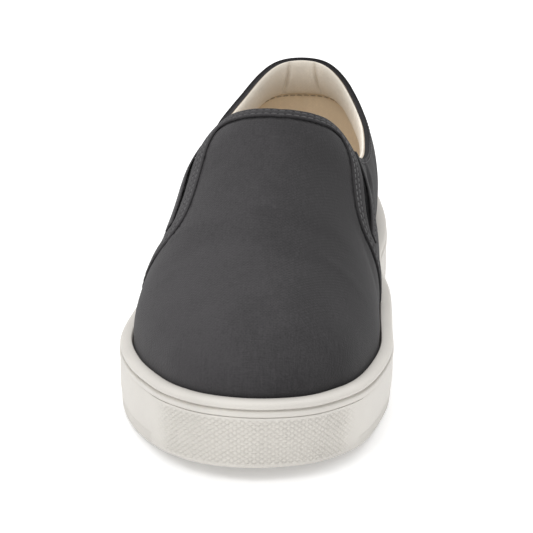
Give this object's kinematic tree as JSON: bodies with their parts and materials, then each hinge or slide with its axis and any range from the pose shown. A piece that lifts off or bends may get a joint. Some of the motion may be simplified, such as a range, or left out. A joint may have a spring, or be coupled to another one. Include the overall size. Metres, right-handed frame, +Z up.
{
  "type": "slip-on sneaker",
  "caption": "Low slip-on sneaker in dark grey canvas with elastic side gores, padded cream collar lining and an off-white rubber cup sole with a textured toe bumper.",
  "frame": {"origin": "On the floor, under the middle of the shoe's length and width", "axes": "Heel towards +Y, toe towards -Y, medial (inner) side towards +X, +Z up"},
  "size_m": [0.1088, 0.2994, 0.1007],
  "materials": {
    "canvas": "dark grey cotton canvas, plain weave, matte",
    "elastic": "black ribbed elastic webbing, matte",
    "rubber": "off-white vulcanised rubber, satin",
    "lining": "cream cotton lining over soft foam",
    "footbed": "tan cotton twill footbed"
  },
  "bodies": {
    "root": {"outsole": "rubber", "cup_sole": "rubber", "toe_bumper": "rubber", "upper": "canvas", "insole": "footbed", "vamp_band": "canvas", "gore_medial": "elastic", "gore_lateral": "elastic", "quarter_strip_medial": "canvas", "quarter_strip_lateral": "canvas", "collar_pad": "lining"}
  },
  "joints": []
}
